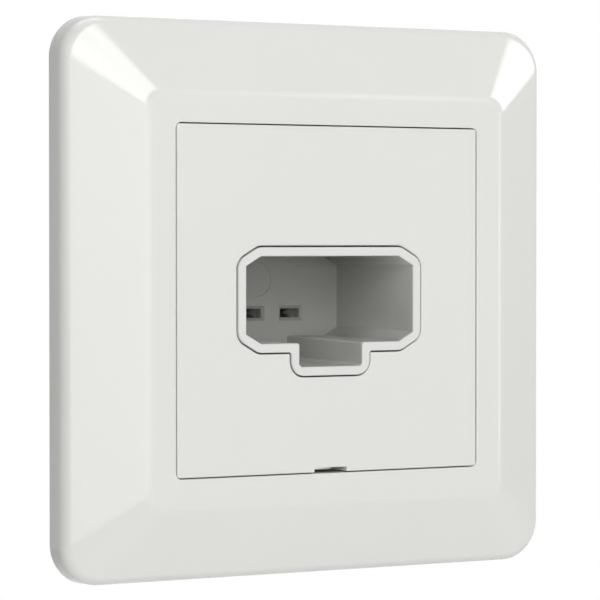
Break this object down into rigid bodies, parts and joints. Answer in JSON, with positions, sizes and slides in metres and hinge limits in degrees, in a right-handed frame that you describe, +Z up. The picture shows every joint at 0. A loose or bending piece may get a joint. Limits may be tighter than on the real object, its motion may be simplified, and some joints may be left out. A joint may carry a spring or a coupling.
{
  "type": "lighting connection outlet",
  "caption": "Square flush wall outlet for a luminaire plug: bevelled cover frame, flush plate, deep keyed plug cavity, support plate and rear housing with push-in terminals.",
  "frame": {"origin": "on the wall plane, midway between the two box screws, which is also the plate's middle", "axes": "+X to the right seen from the room, +Y into the wall, +Z up"},
  "size_m": [0.0884, 0.0393, 0.0884],
  "materials": {
    "gloss_white": "gloss",
    "housing_white": "satin",
    "moulded_grey": "matt",
    "zinc_plate": "zinc plated",
    "spring_steel": "bright",
    "tinned_brass": "tin plated"
  },
  "bodies": {
    "root": {"cover_frame": "gloss_white", "centre_plate": "gloss_white", "socket_housing": "housing_white", "contact_carrier": "moulded_grey", "rear_cover": "moulded_grey", "support_plate": "zinc_plate", "support_screws": "zinc_plate", "catch_spring": "spring_steel", "line_contact": "tinned_brass", "line_terminal": "tinned_brass", "line_clamp_left": "spring_steel", "line_clamp_right": "spring_steel", "earth_contact": "tinned_brass", "earth_terminal": "tinned_brass", "earth_clamp_left": "spring_steel", "earth_clamp_right": "spring_steel", "neutral_contact": "tinned_brass", "neutral_terminal": "tinned_brass", "neutral_clamp_left": "spring_steel", "neutral_clamp_right": "spring_steel"}
  },
  "joints": []
}
